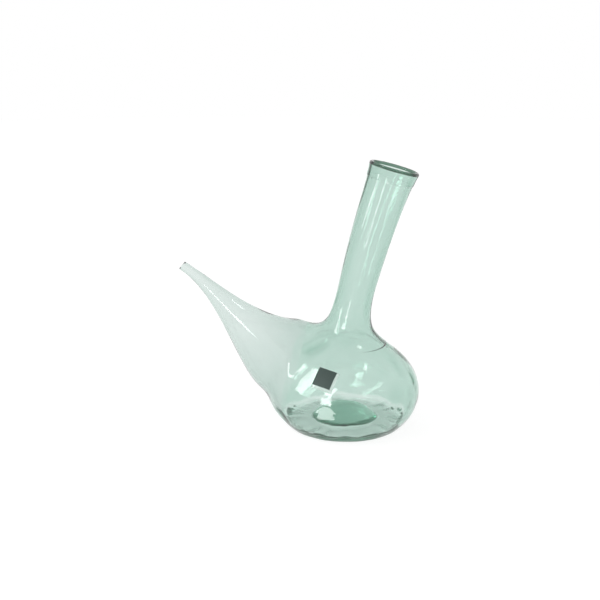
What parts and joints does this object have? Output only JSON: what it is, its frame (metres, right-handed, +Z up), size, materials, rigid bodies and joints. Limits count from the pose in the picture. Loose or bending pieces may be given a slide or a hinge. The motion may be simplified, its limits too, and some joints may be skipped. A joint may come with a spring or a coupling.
{
  "type": "wine pitcher",
  "caption": "Hand-blown glass wine pitcher with a squat round body, a leaning neck, a long tapering spout and a pushed-up base.",
  "frame": {"origin": "on the resting surface, under the middle of the whole object's length and depth", "axes": "+Z up out of the foot, -X along the way the spout points, +X the way the neck leans, +Y across the object's plane of symmetry"},
  "size_m": [0.2408, 0.1508, 0.2702],
  "materials": {
    "base": "clear green glass, thick",
    "bulb": "clear pale green glass",
    "neck": "clear pale green glass",
    "lip_collar": "clear pale green glass",
    "rim": "fire-rounded green glass edge",
    "spout": "clear near-colourless glass",
    "label_film": "clear sticker film",
    "label_face": "plain dark grey print"
  },
  "bodies": {
    "root": {"base": "base", "bulb": "bulb", "neck": "neck", "lip_collar": "lip_collar", "rim": "rim", "spout": "spout", "label_film": "label_film", "label_face": "label_face"}
  },
  "joints": []
}
